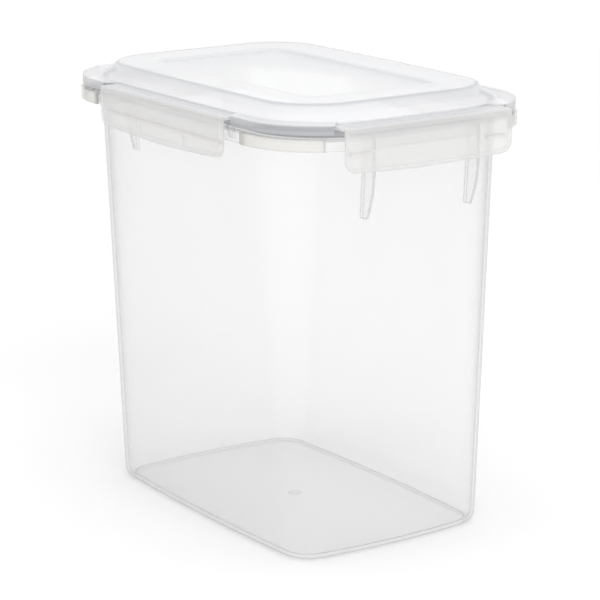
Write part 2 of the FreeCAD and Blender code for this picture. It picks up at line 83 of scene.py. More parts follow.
# How a flap's grid is spaced along it and up it, and the width of a step in its thickness
ALONG_SPACING = 3.5 * MM
UP_SPACING = 2.2 * MM
PINCH = 0.04 * MM
# Shares of the radius of a flap's edge at which the rows round it lie
EDGE_SHARES = (0.08, 0.25, 0.55, 1.0)
# How much thicker than its field a flap is where its bulk is full
FULL_BULK = 1.5 * MM
# Radii in metres of the long bows of the mouth's ends and sides
END_BOW = 6.0
SIDE_BOW = 3.2
# Bevels of the tub's, the lid's and the small pieces' edges
TUB_BEVEL = 0.3 * MM
LID_BEVEL = 0.2 * MM
SMALL_BEVEL = 0.25 * MM
# Angles in degrees past which an edge stays crisp: on the flaps, whose edges are rounded by their
# own rows, and on the other pieces
FLAP_CREASE = 50
CREASE = 35
# Refraction of the plastics, height of their grain, and clear layers that a ray may pass
PLASTIC_IOR = 1.49
GRAIN_HEIGHT = 0.2 * MM
CLEAR_LAYERS = 64
# The floor's own glow at the middle, its growth per metre outwards, and half the floor's width
FLOOR_GLOW = 0.09
GLOW_RISE = 0.1
FLOOR_REACH = 6.0
# Name, place, size in metres and power in watts of each lamp, and the height that they aim at
LAMPS = (
    ("top", (0.0, 0.1, 2.0), 1.6, 7.0),
    ("key", (1.7, -0.5, 1.4), 1.4, 14.0),
    ("fill", (-0.6, -1.8, 1.1), 1.2, 3.5),
)
LAMP_AIM = 0.12
# Nearest distance in metres that the camera sees
NEAR_CLIP = 0.05


# Sizes and colours

def length(name, default, description):
    return FloatProperty(name=name, description=description, default=default, min=0, unit="LENGTH")


def colour(name, default, description):
    return FloatVectorProperty(
        name=name, description=description, default=default, size=3, min=0, max=1, subtype="COLOR"
    )


def degrees(name, default, description):
    return FloatProperty(
        name=name, description=description, default=math.radians(default), subtype="ANGLE"
    )


class TubSizes(bpy.types.PropertyGroup):
    """Sizes and finish of the clear tub."""

    rim_height: length("Rim height", TUB_BOX[1].z, "Height of the tub's rim")
    base_half_length: length("Base half length", 99.2 * MM, "Half the length of the base")
    base_half_width: length("Base half width", 64.3 * MM, "Half the width of the base")
    base_corner: length("Base corner", 18.8 * MM, "Radius of the base's corners")
    base_end_bow: length("Base end bow", 383 * MM, "Radius of the base's bowed short ends")
    base_side_bow: length("Base side bow", 1367 * MM, "Radius of the base's bowed long sides")
    mouth_half_length: length("Mouth half length", 114.7 * MM, "Half the length of the mouth, outside")
    mouth_half_width: length("Mouth half width", 72.7 * MM, "Half the width of the mouth, outside")
    mouth_corner: length("Mouth corner", 44 * MM, "Radius of the mouth's corners")
    wall: length("Wall", 1.8 * MM, "Thickness of the walls")
    floor: length("Floor", 2.2 * MM, "Thickness of the floor")
    base_rounding: length("Base rounding", 6 * MM, "Radius of the rounding round the base")
    floor_rounding: length("Floor rounding", 4 * MM, "Radius of the rounding round the floor")
    # The floor line is a painted dark line, set by the tub's marks
    floor_line: length("Floor line", 1.2 * MM, "Width of the dark line round the floor")
    collar_half_length: length("Collar half length", TUB_BOX[1].x, "Half the length over the collar")
    collar_half_width: length("Collar half width", 81.6 * MM, "Half the width of the collar's outline")
    collar_corner: length("Collar corner", 45.4 * MM, "Radius of the collar's corners")
    collar_drop: length("Collar drop", 2.3 * MM, "How far the collar's top lies below the rim")
    collar_depth: length("Collar depth", 6.2 * MM, "Height of the collar")
    ledge: length("Ledge", 1.6 * MM, "Thickness of the ledge between tub and collar")
    skirt: length("Skirt", 1.5 * MM, "Thickness of the collar's skirt")
    guard_step: length("Guard step", 1.3 * MM, "How far the guards stand proud of the collar")
    side_gap: length("Side gap", 72 * MM, "Half the gap between the guards behind a side flap")
    end_gap: length("End gap", 58 * MM, "Half the gap between the guards at an end")
    grip_half: length("Grip half width", 33.4 * MM, "Half the width of a grip lip")
    grip_depth: length("Grip depth", 16.2 * MM, "Height of a grip lip")
    grip_setback: length("Grip setback", 0.3 * MM, "How far a grip lip lies behind the collar's face")
    gusset: length("Gusset", 1.6 * MM, "Thickness of the gussets under a grip")
    gusset_depth: length("Gusset depth", 43.1 * MM, "Height of a gusset below the collar's top")
    gusset_toe: length("Gusset toe", 4.4 * MM, "Width of a gusset's lower end")
    gusset_curve: length("Gusset curve", 58 * MM, "Radius of a gusset's free edge")
    # The gusset lines are painted dark lines, set by the gussets' marks
    gusset_line: length("Gusset line", 0.6 * MM, "Width of the dark lines along a gusset's edges")
    gate: length("Gate", 4 * MM, "Radius of the gate mark in the middle of the floor")
    gate_rise: length("Gate rise", 0.3 * MM, "Height of the gate mark's raised edge")
    tint: colour("Tint", (0.845, 0.838, 0.838), "Colour of the clear plastic where it gathers")
    edge_tint: colour("Edge tint", (0.86, 0.85, 0.8), "Colour of the collar's thick guards")


class LidSizes(bpy.types.PropertyGroup):
    """Sizes and finish of the lid."""

    top: length("Top", LID_BOX[1].z, "Height of the lid's rim round the dish")
    top_half_length: length("Top half length", 101.4 * MM, "Half the length of the raised top")
    top_half_width: length("Top half width", 65.2 * MM, "Half the width of the raised top")
    top_corner: length("Top corner", 31.6 * MM, "Radius of the raised top's corners")
    shoulder_step: length("Shoulder step", 4 * MM, "How far the shoulder stands out from the top")
    shoulder_drop: length("Shoulder drop", 5.6 * MM, "How far the shoulder lies below the top")
    flange_half_length: length("Flange half length", 116 * MM, "Half the length of the flange")
    flange_half_width: length("Flange half width", 74.2 * MM, "Half the width of the flange")
    flange_corner: length("Flange corner", 45 * MM, "Radius of the flange's corners")
    flange_drop: length("Flange drop", 7.1 * MM, "How far the flange lies below the top")
    flange_edge: length("Flange edge", 2.2 * MM, "Thickness of the flange's edge")
    wall: length("Wall", 1.8 * MM, "Thickness of the lid")
    dish_rim: length("Dish rim", 23.8 * MM, "Width of the flat rim round the dish")
    dish_slope: length("Dish slope", 1.2 * MM, "Width of the dish's slope")
    dish_depth: length("Dish depth", 2 * MM, "Depth of the dish")
    dish_round: length("Dish round", 0.8 * MM, "Reach of the rounding at the dish's floor")
    rim_round: length("Rim round", 1.1 * MM, "Reach of the rounding at the dish's rim")
    top_round: length("Top round", 2.3 * MM, "Reach of the rounding at the raised top's edge")
    shoulder_round: length("Shoulder round", 1.8 * MM, "Reach of the rounding at the shoulder")
    flange_round: length("Flange round", 0.6 * MM, "Reach of the rounding at the flange's edge")
    flange_under: length("Flange under", 0.5 * MM, "Reach of the rounding under the flange's edge")
    plug_gap: length("Plug gap", 0.7 * MM, "Gap between the plug and the tub's wall")
    plug_wall: length("Plug wall", 1.5 * MM, "Thickness of the plug's skirt")
    brim_setback: length("Brim setback", 0.9 * MM, "How far the brim lies behind the collar's outline")
    brim_drop: length("Brim drop", 0.2 * MM, "How far the brim lies below the flange's top")
    brim_edge: length("Brim edge", 1 * MM, "Thickness of the brim at the corners")
    brim_notch: length("Brim notch", 0.9 * MM, "Gap between the brim and a hinge land")
    brim_lip: length("Brim lip", 1.3 * MM, "Thickness of the lip under the brim's edge")
    brim_lip_depth: length("Brim lip depth", 5.1 * MM, "Height of the brim with its lip")
    inset: length("Inset", 0.1 * MM, "How far a face lies behind another that it would share")
    land_edge: length("Land edge", 1.6 * MM, "Thickness of the hinge lands")
    tint: colour("Tint", (0.95, 0.952, 0.965), "Colour of the milky plastic")
    shadow: colour("Shadow", (0.47, 0.48, 0.505), "Colour of the milky plastic on slopes and edges")


class RingSizes(bpy.types.PropertyGroup):
    """Sizes and finish of the sealing ring."""

    width: length("Width", 2.2 * MM, "Width of the sealing ring")
    gap: length("Gap", 0.1 * MM, "Gap between the ring and the plug's groove")
    low_round: length("Low round", 0.8 * MM, "Reach of the roundings that rest on the rim")
    high_round: length("High round", 0.2 * MM, "Reach of the roundings in the groove")
    tint: colour("Tint", (0.62, 0.63, 0.64), "Colour of the silicone in its groove")


class FlapSizes(bpy.types.PropertyGroup):
    """Sizes and finish of the four latch flaps."""

    thickness: length("Thickness", 1.8 * MM, "Thickness of a flap's border")
    field: length("Field", 1.2 * MM, "Thickness of a flap inside its border")
    border: length("Border", 2.3 * MM, "Width of the border")
    bow: length("Bow", 850 * MM, "Radius of the bowed lower edge")
    end_corner: length("End flap corner", 6.5 * MM, "Corner radius of the flaps at the ends")
    side_corner: length("Side flap corner", 6 * MM, "Corner radius of the flaps at the sides")
    hook_gap: length("Hook gap", 0.3 * MM, "Gap between a hook and the collar")
    hook_height: length("Hook height", 2.3 * MM, "Height of a hook at its root")
    hook_slope: length("Hook slope", 1.3 * MM, "Height of a hook's sloping underside")
    side_hook: length("Side hook", 59 * MM, "Half the width of a side flap's hook")
    end_hook_inner: length("End hook start", 36 * MM, "Place where an end flap's hooks start")
    end_hook_outer: length("End hook end", 48.5 * MM, "Place where an end flap's hooks end")
    rib_width: length("Rib width", 1.8 * MM, "Width of a side flap's ribs")
    rib_place: length("Rib place", 22 * MM, "Place of a side flap's ribs")
    edge: length("Edge", 0.5 * MM, "Radius of a flap's rounded edges")
    tint: colour("Tint", (0.86, 0.852, 0.846), "Colour of the flaps' milky plastic")


class StageSizes(bpy.types.PropertyGroup):
    """Camera, lamps and floor."""

    azimuth: degrees("Azimuth", 56.32, "Camera's turn about the vertical")
    elevation: degrees("Elevation", 14.26, "Camera's angle above the horizon")
    roll: degrees("Roll", 0.39534, "Camera's small tilt about its view line")
    distance: length("Distance", 1.3742, "Distance from the camera to the object's middle")
    lens: FloatProperty(name="Lens", description="Focal length", default=149.1, min=1, unit="CAMERA")
    sideways: length("Sideways", 3.46 * MM, "How far the camera aims to the right of the middle")
    aim_height: length("Aim height", 114.0 * MM, "Height that the camera aims at")
    backdrop: colour("Backdrop", (1.0, 1.0, 1.0), "Colour of the backdrop")
    floor: colour("Floor", (0.9, 0.9, 0.9), "Colour of the floor")
    light: FloatProperty(name="Light", description="Level of the light from all round",
                         default=0.72, min=0, max=1, subtype="FACTOR")


# Outlines and surfaces

def outline(shape, inset=0.0):
    """Points round a closed outline of eight arcs that touch: two ends, four corners and two sides.

    A corner's centre lies as far inside the end's arc as inside the side's arc: it is where two
    circles meet whose radii are the bow's radius less the corner's radius. Four arcs make one half
    of the outline, and the other half is the same turned round.
    """
    half_length, half_width, corner, end_bow, side_bow = (size - inset for size in shape)
    end_x, side_y = half_length - end_bow, half_width - side_bow
    reach_end, reach_side = end_bow - corner, side_bow - corner
    span = math.hypot(end_x, side_y)
    along = (reach_end ** 2 - reach_side ** 2 + span ** 2) / (2 * span)
    across = math.sqrt(reach_end ** 2 - along ** 2)
    ux, uy = -end_x / span, side_y / span
    cx, cy = end_x + ux * along - uy * across, uy * along + ux * across
    right = math.atan2(cy, cx - end_x)
    top = math.atan2(cx, cy - side_y)
    ends, corners, sides = ARC_STEPS
    arcs = [
        (end_x, 0, end_bow, -right, right, ends),
        (cx, cy, corner, right, QUARTER - top, corners),
        (0, side_y, side_bow, QUARTER - top, QUARTER + top, sides),
        (-cx, cy, corner, QUARTER + top, 2 * QUARTER - right, corners),
    ]
    half = []
    for x, y, radius, start, stop, steps in arcs:
        angle = np.linspace(start, stop, steps, endpoint=False)
        half.append(np.stack([x + radius * np.cos(angle), y + radius * np.sin(angle)], 1))
    half = np.concatenate(half)
    return np.concatenate([half, -half])


def row(points, height):
    """One level row of a surface: an outline's points at a height."""
    return np.column_stack([points, np.full(len(points), height)])


def level_rows(places):
    """Level rows, each from an outline's shape, its inset and a height."""
    return [row(outline(shape, inset), height) for shape, inset, height in places]


def soften(rows, places, steps=4):
    """Rounds a profile at some of its rows, each named with a reach and a mark.

    A named row gives way to a quadratic curve that starts and ends its reach away from it on the
    straight lines to its neighbours, and has the row itself as its control point. The second result
    is a value for each new row: nothing on plain rows, and the mark in the middle of a curve.
    """
    result, marks = [], []
    for index, here in enumerate(rows):
        if index not in places:
            result.append(here)
            marks.append(0.0)
            continue
        reach, mark = places[index]
        before, after = rows[index - 1] - here, rows[(index + 1) % len(rows)] - here
        start = here + before * (reach / np.linalg.norm(before, axis=1, keepdims=True))
        stop = here + after * (reach / np.linalg.norm(after, axis=1, keepdims=True))
        for t in np.linspace(0, 1, steps + 1):
            result.append(start * (1 - t) ** 2 + here * (2 * t * (1 - t)) + stop * t ** 2)
            marks.append(mark * math.sin(t * 2 * QUARTER))
    return np.array(result), np.array(marks)


def skin(rows, ring=False):
    """A closed surface through rows with the same number of points.

    A four-sided face joins two points of a row and the two beside them in the next. A ring's last
    row joins its first, and any other surface has a flat face at each end.
    """
    rows = np.array(rows)
    steps, count = rows.shape[:2]
    step, here = np.meshgrid(np.arange(steps if ring else steps - 1), np.arange(count), indexing="ij")
    above, following = (step + 1) % steps, (here + 1) % count
    corners = [step * count + here, step * count + following,
               above * count + following, above * count + here]
    faces = np.stack(corners, -1).reshape(-1, 4).tolist()
    if not ring:
        faces += [list(range(count))[::-1], list(range((steps - 1) * count, steps * count))]
    return rows.reshape(-1, 3), faces


def outward(points, faces):
    """The same surface with its faces turned outwards.

    They point inwards where the triple products of its triangles add up to less than nothing.
    """
    triangles = np.array([
        (face[0], face[k], face[k + 1]) for face in faces for k in range(1, len(face) - 1)
    ])
    a, b, c = (points[triangles[:, k]] for k in range(3))
    inside_out = (a * np.cross(b, c)).sum() < 0
    return points, [face[::-1] for face in faces] if inside_out else faces


def gather(shells):
    """Several closed surfaces as one."""
    points, faces, start = [], [], 0
    for shell in shells:
        shell_points, shell_faces = outward(*shell)
        points.append(shell_points)
        faces += [[corner + start for corner in face] for face in shell_faces]
        start += len(shell_points)
    return np.concatenate(points), faces


def placed(name, data):
    """A new object in the scene."""
    item = bpy.data.objects.new(name, data)
    bpy.context.scene.collection.objects.link(item)
    return item


def make_piece(name, surface, body, material, crease=CREASE, bevel=0.0, replaces=()):
    """A mesh object in the row frame that rides on a body, with crisp or slightly rounded edges.

    The surface's marks, where it has them, tell the material how much to darken each point,
    from 0 to 1: real thickness on the flaps, painted shade along lines, edges and lips elsewhere.
    """
    points, faces, *bulk_and_shade = surface
    mesh = bpy.data.meshes.new(name)
    mesh.from_pydata(points.tolist(), [], faces)
    mesh.validate()
    mesh.shade_smooth()
    mesh.set_sharp_from_angle(angle=math.radians(crease))
    piece = placed(name, mesh)
    mesh.materials.append(material)
    if bulk_and_shade:
        layer = mesh.attributes.new("bulk_and_shade", "FLOAT", "POINT")
        layer.data.foreach_set("value", bulk_and_shade[0].astype(np.float32))
    if bevel > 0:
        rounding = piece.modifiers.new("Rounded edges", "BEVEL")
        rounding.width = bevel
        rounding.segments = 2
        rounding.limit_method = "ANGLE"
        rounding.angle_limit = math.radians(crease)
        rounding.harden_normals = True
    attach(piece, body)
    if replaces:
        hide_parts(*replaces)


# Materials. Plain numbers in them are weights and roughnesses from 0 to 1, and scales of noise.

class Signal:
    """A value or colour on its way through a material, written with ordinary operators."""

    def __init__(self, tree, socket=None):
        self.tree = tree
        self.socket = socket

    def then(self, kind, inputs, output=0, **settings):
        """Any node of the material: inputs by name or number, settings as the node's own."""
        node = self.tree.nodes.new(kind)
        for key, value in settings.items():
            setattr(node, key, value)
        for key, value in inputs.items():
            feed(node, key, value)
        return Signal(self.tree, node.outputs[output])

    def math(self, operation, other):
        return self.then("ShaderNodeMath", {0: self, 1: other}, operation=operation)

    def __add__(self, other):
        return self.math("ADD", other)

    def __rsub__(self, other):
        return self.then("ShaderNodeMath", {0: other, 1: self}, operation="SUBTRACT")

    def __mul__(self, other):
        return self.math("MULTIPLY", other)

    def __pow__(self, other):
        return self.math("POWER", other)

    __radd__ = __add__
    __rmul__ = __mul__


def feed(node, key, value):
    """Links a signal to one of a node's inputs, or sets the input's own value."""
    if isinstance(value, Signal):
        value.tree.links.new(value.socket, node.inputs[key])
    else:
        node.inputs[key].default_value = value


def new_material(name, ior=1.5):
    """A node material, its Principled shader, and the place on the piece as a signal."""
    material = bpy.data.materials.new(name)
    material.use_nodes = True
    shader = material.node_tree.nodes["Principled BSDF"]
    feed(shader, "IOR", ior)
    place = Signal(material.node_tree).then("ShaderNodeTexCoord", {}, output="Object")
    return material, shader, place


def blended(start, low, high, factor):
    """A colour that goes from low to high with the factor."""
    return start.then(
        "ShaderNodeMix", {0: factor, 6: (*low, 1), 7: (*high, 1)}, output=2, data_type="RGBA"
    )


def scaled(tint, level):
    """A darker shade of a colour."""
    return tuple(part * level for part in tint)


def noise(place, scale, detail=2.0):
    """Soft noise from 0 to 1 over the piece."""
    return place.then("ShaderNodeTexNoise", {"Vector": place, "Scale": scale, "Detail": detail})


def grain(shader, place, scale, strength):
    """Fine grain that ruffles the surface a little."""
    fine = noise(place, scale)
    feed(shader, "Normal", place.then(
        "ShaderNodeBump", {"Strength": strength, "Distance": GRAIN_HEIGHT, "Height": fine}))
    return fine


def bulk_shade_and_grazing(place):
    """The piece's marks of thickness and painted shade, and how far the surface turns away from the
    eye.
    """
    bulk_and_shade = place.then("ShaderNodeAttribute", {}, output=2, attribute_name="bulk_and_shade")
    return bulk_and_shade, place.then("ShaderNodeLayerWeight", {"Blend": 0.5}, output=1)


def clear_plastic(name, tint, film, edge):
    """Clear polished plastic: a film with painted shade along its marked lines and where seen edge on.
    """
    material, shader, place = new_material(name, PLASTIC_IOR)
    bulk_and_shade, grazing = bulk_shade_and_grazing(place)
    cloud = noise(place, 14.0)
    # Painted shade for refraction: darker where seen edge on and along the marked lines
    edge_on = grazing ** 4.0 * edge
    shade = edge_on * 0.9 + bulk_and_shade * 0.6 + cloud * 0.04
    feed(shader, "Base Color", blended(place, tint, scaled(tint, 0.35), shade))
    feed(shader, "Alpha", edge_on * 0.8 + bulk_and_shade * 0.35 + grazing * 0.06 + cloud * 0.03 + film)
    feed(shader, "Roughness", cloud * 0.06 + 0.05)
    grain(shader, place, scale=900.0, strength=0.04)
    return material


def lid_plastic(tint, shadow, underside):
    """Milky plastic of the lid: clearest on level faces, denser and painted darker on slopes and edges.

    The painted shade is darkest where the marks give a line or a lip, but a lip pales where it turns
    away, and it is darkest too in the skirt below the flange's underside.
    """
    material, shader, place = new_material("lid_plastic", PLASTIC_IOR)
    face = place.then("ShaderNodeNewGeometry", {}, output=1)
    level = face.then("ShaderNodeSeparateXYZ", {"Vector": face}, output=2)
    # Painted shade: on slopes, along marked lines and lips, and in the skirt below the flange
    slope = 1 - level * level
    height = place.then("ShaderNodeSeparateXYZ", {"Vector": place}, output=2)
    shade_under_flange = ((underside - height) * (1 / MM)).math("MAXIMUM", 0).math("MINIMUM", 1)
    bulk_and_shade, grazing = bulk_shade_and_grazing(place)
    cloud = noise(place, 9.0, detail=3.0)
    turned = (grazing * 1.6).math("MINIMUM", 1) ** 2.0
    painted_shade = slope * 0.12 + bulk_and_shade * (1 - turned * slope) * 0.95 + shade_under_flange * 0.45
    feed(shader, "Base Color", blended(place, tint, shadow, painted_shade + cloud * 0.06))
    feed(shader, "Alpha", painted_shade * 0.4 + grazing * 0.25 + 0.4)
    fine = grain(shader, place, scale=700.0, strength=0.02)
    feed(shader, "Roughness", fine * 0.08 + 0.2)
    return material


def flap_plastic(tint):
    """Milky plastic of the flaps: more of it shows where ribs, hooks and borders make it thick."""
    material, shader, place = new_material("flap_plastic", PLASTIC_IOR)
    bulk_and_shade, grazing = bulk_shade_and_grazing(place)
    shade = noise(place, 11.0, detail=3.0) * 0.2 + bulk_and_shade * 0.3
    feed(shader, "Base Color", blended(place, tint, scaled(tint, 0.8), shade))
    feed(shader, "Alpha", bulk_and_shade * 0.3 + grazing * 0.2 + 0.34)
    fine = grain(shader, place, scale=1400.0, strength=0.06)
    feed(shader, "Roughness", fine * 0.12 + 0.25)
    return material


def silicone(tint):
    """Soft grey silicone with a dull skin."""
    material, shader, place = new_material("silicone")
    cloud = noise(place, 40.0, detail=3.0)
    feed(shader, "Base Color", blended(place, tint, scaled(tint, 0.85), cloud))
    fine = grain(shader, place, scale=1800.0, strength=0.1)
    feed(shader, "Roughness", fine * 0.15 + 0.5)
    return material


# Shapes of the tub

def tub_shapes(sizes):
    """The three outlines of the tub: base, mouth and collar."""
    base = (sizes.base_half_length, sizes.base_half_width, sizes.base_corner,
            sizes.base_end_bow, sizes.base_side_bow)
    mouth = (sizes.mouth_half_length, sizes.mouth_half_width, sizes.mouth_corner, END_BOW, SIDE_BOW)
    collar = (sizes.collar_half_length, sizes.collar_half_width, sizes.collar_corner, END_BOW, SIDE_BOW)
    return base, mouth, collar


def wall_row(sizes, height, inset):
    """A row of the tapering wall: the base's and the mouth's outlines mixed by height."""
    base, mouth, _ = tub_shapes(sizes)
    part = height / sizes.rim_height
    points = outline(base, inset) * (1 - part) + outline(mouth, inset) * part
    return row(points, height)


def tub_surface(sizes):
    """Tub, ledge and collar skirt in one skin, from the base up, over the rim and down to the floor.

    Its marks give a painted dark line where the floor meets the rounding at the foot of the walls.
    """
    base, _, collar = tub_shapes(sizes)
    rim, wall = sizes.rim_height, sizes.wall
    ledge_top = rim - sizes.collar_drop
    ledge_low = ledge_top - sizes.ledge
    skirt_low = ledge_top - sizes.collar_depth
    skirt_out, skirt_in = sizes.guard_step, sizes.guard_step + sizes.skirt
    turn = np.linspace(0, QUARTER, FOOT_STEPS)
    rounding, inner_rounding = sizes.base_rounding, sizes.floor_rounding
    rows = [wall_row(sizes, rounding * (1 - math.cos(a)), rounding * (1 - math.sin(a))) for a in turn]
    rows += [wall_row(sizes, height, 0) for height in np.linspace(rounding, ledge_low, WALL_STEPS)[1:]]
    rows += level_rows([
        (collar, skirt_in, ledge_low),
        (collar, skirt_in, skirt_low),
        (collar, skirt_out, skirt_low),
        (collar, skirt_out, ledge_top),
    ])
    rows += [wall_row(sizes, ledge_top, 0), wall_row(sizes, rim, 0), wall_row(sizes, rim, wall)]
    low = sizes.floor + inner_rounding
    rows += [wall_row(sizes, height, wall) for height in np.linspace(rim, low, WALL_STEPS)[1:]]
    rows += [
        wall_row(sizes, low - inner_rounding * math.sin(a), wall + inner_rounding * (1 - math.cos(a)))
        for a in turn[1:]
    ]
    rows.append(row(outline(base, wall + inner_rounding + sizes.floor_line), sizes.floor))
    bulk_and_shade = np.zeros((len(rows), len(rows[0])))
    # Painted dark line round the floor
    bulk_and_shade[-2] = 1
    return *outward(*skin(rows)), bulk_and_shade.reshape(-1)


def guard_surfaces(sizes):
    """Proud guards round the corners of the collar, with painted shade on their end faces."""
    _, _, collar = tub_shapes(sizes)
    outer = outline(collar)
    inner = outline(collar, sizes.guard_step + sizes.skirt / 2)
    top = sizes.rim_height - sizes.collar_drop
    low = top - sizes.collar_depth
    guards = banded(outer, inner, low, top, sizes.side_gap, sizes.end_gap)
    bulk_and_shade = [np.zeros(len(points)) for points, _ in guards]
    # Painted shade on each guard's end faces
    for ends in bulk_and_shade:
        ends[:4] = ends[-4:] = 1
    return *gather(guards), np.concatenate(bulk_and_shade)


def banded(outer, inner, low, top, side_gap, end_gap):
    """Four bars along the corners of an outline, clear of the gaps at its ends and sides.

    Each section of a bar is a rectangle from outer to inner outline and from low to top.
    """
    fine = np.linspace(0, 1, FINE_STEPS, endpoint=False)[None, :, None]
    out, back = (
        (points[:, None] * (1 - fine) + np.roll(points, -1, 0)[:, None] * fine).reshape(-1, 2)
        for points in (outer, inner)
    )
    bars = []
    for sx, sy in ((1, 1), (-1, 1), (-1, -1), (1, -1)):
        pick = np.flatnonzero((out[:, 0] * sx > side_gap) & (out[:, 1] * sy > end_gap))
        gap = np.flatnonzero(np.diff(pick) > 1)
        if len(gap):
            pick = np.roll(pick, -(gap[0] + 1))
        pick = pick[::KEEP_STEP]
        sections = np.stack([
            row(out[pick], low), row(out[pick], top), row(back[pick], top), row(back[pick], low)
        ], 1)
        bars.append(skin(sections))
    return bars


def block(across, along, up):
    """A box between two limits along each axis."""
    (x0, x1), (y0, y1), (z0, z1) = (sorted(limits) for limits in (across, along, up))
    section = [(x0, z0), (x1, z0), (x1, z1), (x0, z1)]
    return skin([[(x, y, z) for x, z in section] for y in (y0, y1)])


def grip_surfaces(sizes):
    """A proud guard at the middle of each end of the collar, and the grip's lip under it."""
    top = sizes.rim_height - sizes.collar_drop
    face = sizes.collar_half_length
    lip_face = face - sizes.grip_setback
    across = -sizes.grip_half, sizes.grip_half
    shells = []
    for side in (1, -1):
        guard = side * (face - sizes.guard_step - sizes.skirt / 2), side * face
        lip = side * (face - sizes.skirt), side * lip_face
        shells.append(block(guard, across, (top - sizes.collar_depth, top)))
        shells.append(block(lip, across, (top - sizes.grip_depth, top - sizes.ledge / 2)))
    return gather(shells)


def gate_surface(sizes):
    """The small round mark in the middle of the floor, where the plastic entered the mould.

    Each of its rings is a share of its radius, at a share of its rise.
    """
    turn = np.linspace(0, 4 * QUARTER, GATE_STEPS, endpoint=False)
    ring = sizes.gate * np.stack([np.cos(turn), np.sin(turn)], 1)
    rows = [row(ring * part, sizes.floor + sizes.gate_rise * rise) for part, rise in GATE_PROFILE]
    return outward(*skin(rows))


def gusset_surfaces(sizes):
    """Two gussets that hold each grip lip to the wall, with painted dark lines along their edges at the
    wall and in the air.

    A gusset's free edge is an arc from its toe on the wall out to the lip's lower edge, then runs up.
    """
    top = sizes.rim_height - sizes.collar_drop
    foot = top - sizes.gusset_depth
    taper = (sizes.mouth_half_length - sizes.base_half_length) / sizes.rim_height
    toe = np.array([sizes.base_half_length + taper * foot + sizes.gusset_toe, foot])
    lip_middle = sizes.collar_half_length - (sizes.grip_setback + sizes.skirt) / 2
    lip = np.array([lip_middle, top - sizes.grip_depth])
    chord = lip - toe
    reach = np.linalg.norm(chord)
    normal = np.array([-chord[1], chord[0]]) / reach
    centre = (toe + lip) / 2 + normal * math.sqrt(sizes.gusset_curve ** 2 - (reach / 2) ** 2)
    first, last = (math.atan2(*(end - centre)[::-1]) for end in (toe, lip))
    angles = np.linspace(first, last, GUSSET_STEPS)
    edge = centre + sizes.gusset_curve * np.stack([np.cos(angles), np.sin(angles)], 1)
    edge = np.concatenate([edge, [[lip_middle, top - sizes.ledge / 2]]])
    free, height = edge.T
    wall = sizes.base_half_length + taper * height
    line = sizes.gusset_line
    across = np.stack([wall - sizes.wall / 2, wall, wall + line, free - line, free], 1)
    # Painted dark lines at the edges against the wall and in the air
    marks = np.array([0, 1, 0, 0, 1])

    loop = np.concatenate([across, across[:, ::-1]], 1)
    up = height[:, None].repeat(loop.shape[1], 1)
    shells = []
    for side in (1, -1):
        for inner, outer in ((sizes.grip_half - sizes.gusset, sizes.grip_half),
                             (-sizes.grip_half, sizes.gusset - sizes.grip_half)):
            y = np.repeat([inner, outer], across.shape[1])[None].repeat(len(loop), 0)
            shells.append(skin(np.stack([loop * side, y, up], -1)))
    bulk_and_shade = np.tile(np.concatenate([marks, marks[::-1]]), len(loop) * len(shells))
    return *gather(shells), bulk_and_shade


# Shapes of the lid and the ring

def lid_shapes(sizes, tub):
    """The outlines of the raised top, the flange and the tub's mouth."""
    top = (sizes.top_half_length, sizes.top_half_width, sizes.top_corner, END_BOW, SIDE_BOW)
    flange = (sizes.flange_half_length, sizes.flange_half_width, sizes.flange_corner, END_BOW, SIDE_BOW)
    return top, flange, tub_shapes(tub)[1]


def lid_surface(sizes, tub):
    """The lid in one skin, from the dish out over the flange, and back below it.

    Its marks give painted shade lines along the roundings: strongest along the edge of the raised top.
    """
    top, flange, mouth = lid_shapes(sizes, tub)
    dish = sizes.top - sizes.dish_depth
    crest = sizes.top - sizes.flange_drop
    edge_low = crest - sizes.flange_edge
    ceiling = sizes.top - sizes.wall
    groove = RING_BOX[1].z
    plug = tub.wall + sizes.plug_gap
    rows = level_rows([
        (top, sizes.dish_rim + 2 * sizes.dish_slope, dish),
        (top, sizes.dish_rim + sizes.dish_slope, dish),
        (top, sizes.dish_rim, sizes.top),
        (top, 0, sizes.top),
        (top, -sizes.shoulder_step, sizes.top - sizes.shoulder_drop),
        (flange, 0, crest),
        (flange, 0, edge_low),
        (mouth, sizes.inset, edge_low),
        (mouth, sizes.inset, groove),
        (mouth, plug, groove),
        (mouth, plug, LID_BOX[0].z),
        (mouth, plug + sizes.plug_wall, LID_BOX[0].z),
        (mouth, plug + sizes.plug_wall, groove),
        (top, sizes.wall - sizes.shoulder_step, groove),
        (top, sizes.wall, ceiling),
        (top, sizes.dish_rim - sizes.wall, ceiling),
        (top, sizes.dish_rim - sizes.wall, ceiling - sizes.dish_depth),
    ])
    # Strengths of the painted shade lines along the roundings
    dish_line, rim_line, top_line, flange_line = 0.45, 0.3, 1.0, 0.35
    rows, marks = soften(rows, {
        1: (sizes.dish_round, dish_line),
        2: (sizes.rim_round, rim_line),
        3: (sizes.top_round, top_line),
        4: (sizes.shoulder_round, 0),
        5: (sizes.flange_round, flange_line),
        6: (sizes.flange_under, 0),
    })
    return *outward(*skin(rows)), np.repeat(marks, rows.shape[1])


